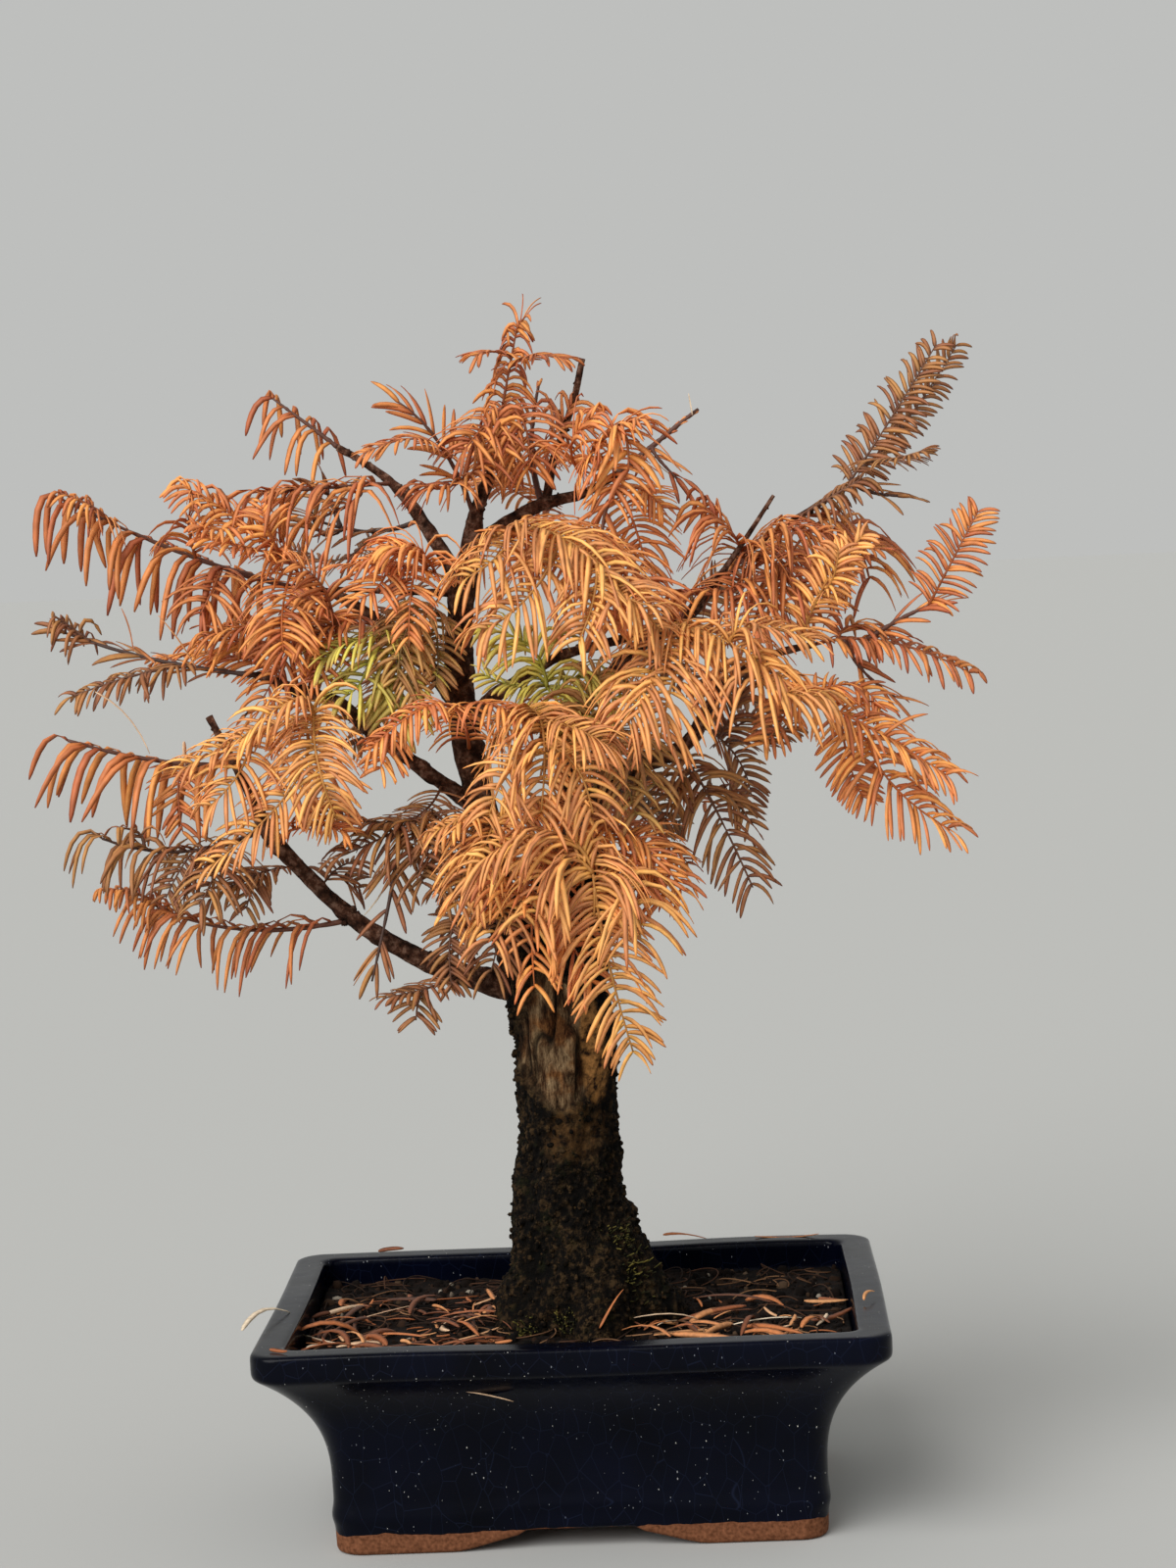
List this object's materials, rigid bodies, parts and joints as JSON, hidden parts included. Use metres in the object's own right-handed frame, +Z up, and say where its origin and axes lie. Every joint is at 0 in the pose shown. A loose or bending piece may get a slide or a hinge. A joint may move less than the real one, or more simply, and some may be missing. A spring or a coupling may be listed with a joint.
{
  "type": "dawn redwood bonsai",
  "caption": "Dawn redwood grown as a bonsai in autumn colour, with an open branched crown of feathery sprays, in a rectangular glazed pot with a cove under its rim.",
  "frame": {"origin": "middle of the whole object's box, on the plane that the pot's feet stand on", "axes": "+Z up along the trunk, +Y away from the front of the pot, along its shorter side, +X to the right"},
  "size_m": [0.3074, 0.1648, 0.3881],
  "materials": {
    "pot_glaze": "glossy dark blue glaze with fine crackle and pale specks, unglazed terracotta under the feet",
    "soil": "dark crumbly potting soil with fine roots",
    "bark": "dark brown fissured bark, smoother on the twigs",
    "needles_salmon": "dry autumn needles, satin, salmon",
    "needles_orange": "dry autumn needles, satin, orange",
    "needles_gold": "dry autumn needles, satin, gold",
    "needles_brown": "dry autumn needles, satin, brown",
    "needles_olive": "dry autumn needles, satin, olive",
    "needles_green": "dry autumn needles, satin, green",
    "needles_grey": "dry autumn needles, satin, grey"
  },
  "bodies": {
    "root": {"pot": "pot_glaze", "soil": "soil", "wood": "bark", "low_left_shoot": "needles_salmon", "low_left_hanging": "needles_brown", "upper_low_left_shoot": "needles_salmon", "golden_left_outer": "needles_gold", "golden_left_inner": "needles_gold", "low_left_bright": "needles_orange", "low_left_dark": "needles_brown", "low_left_small": "needles_brown", "low_left_base": "needles_brown", "mid_left_end": "needles_brown", "mid_left_upper": "needles_orange", "high_left_end": "needles_salmon", "high_left_orange": "needles_orange", "high_left_under": "needles_salmon", "high_left_middle": "needles_salmon", "leader_olive": "needles_olive", "yellow_green": "needles_green", "top_left_end": "needles_salmon", "top_left_middle": "needles_salmon", "top_left_lower": "needles_brown", "apex_left": "needles_salmon", "apex_shoot": "needles_salmon", "apex_red_twig": "needles_salmon", "apex_right_end": "needles_salmon", "apex_right_fall": "needles_orange", "apex_right_arch": "needles_orange", "right_top": "needles_brown", "right_gold": "needles_gold", "right_back_arch": "needles_salmon", "right_back_low": "needles_salmon", "right_end": "needles_salmon", "right_low": "needles_orange", "right_dark": "needles_brown", "right_droop": "needles_brown", "right_under": "needles_grey", "front_crown": "needles_gold", "front_crown_right": "needles_orange", "front_crown_left": "needles_orange", "front_right_arch": "needles_gold", "front_middle": "needles_gold", "front_middle_left": "needles_orange", "front_middle_right": "needles_olive", "lower_front_left": "needles_gold", "lower_front_centre": "needles_gold", "lower_front_right": "needles_orange", "trunk_front_fall": "needles_orange", "trunk_left_fall": "needles_brown", "left_hollow_spray": "needles_brown", "cross_green": "needles_green", "back_left": "needles_brown", "back_top": "needles_orange", "back_right": "needles_brown", "back_middle": "needles_gold", "back_low": "needles_salmon", "litter_left": "needles_salmon", "litter_right": "needles_salmon", "rim_needle": "needles_orange"}
  },
  "joints": []
}
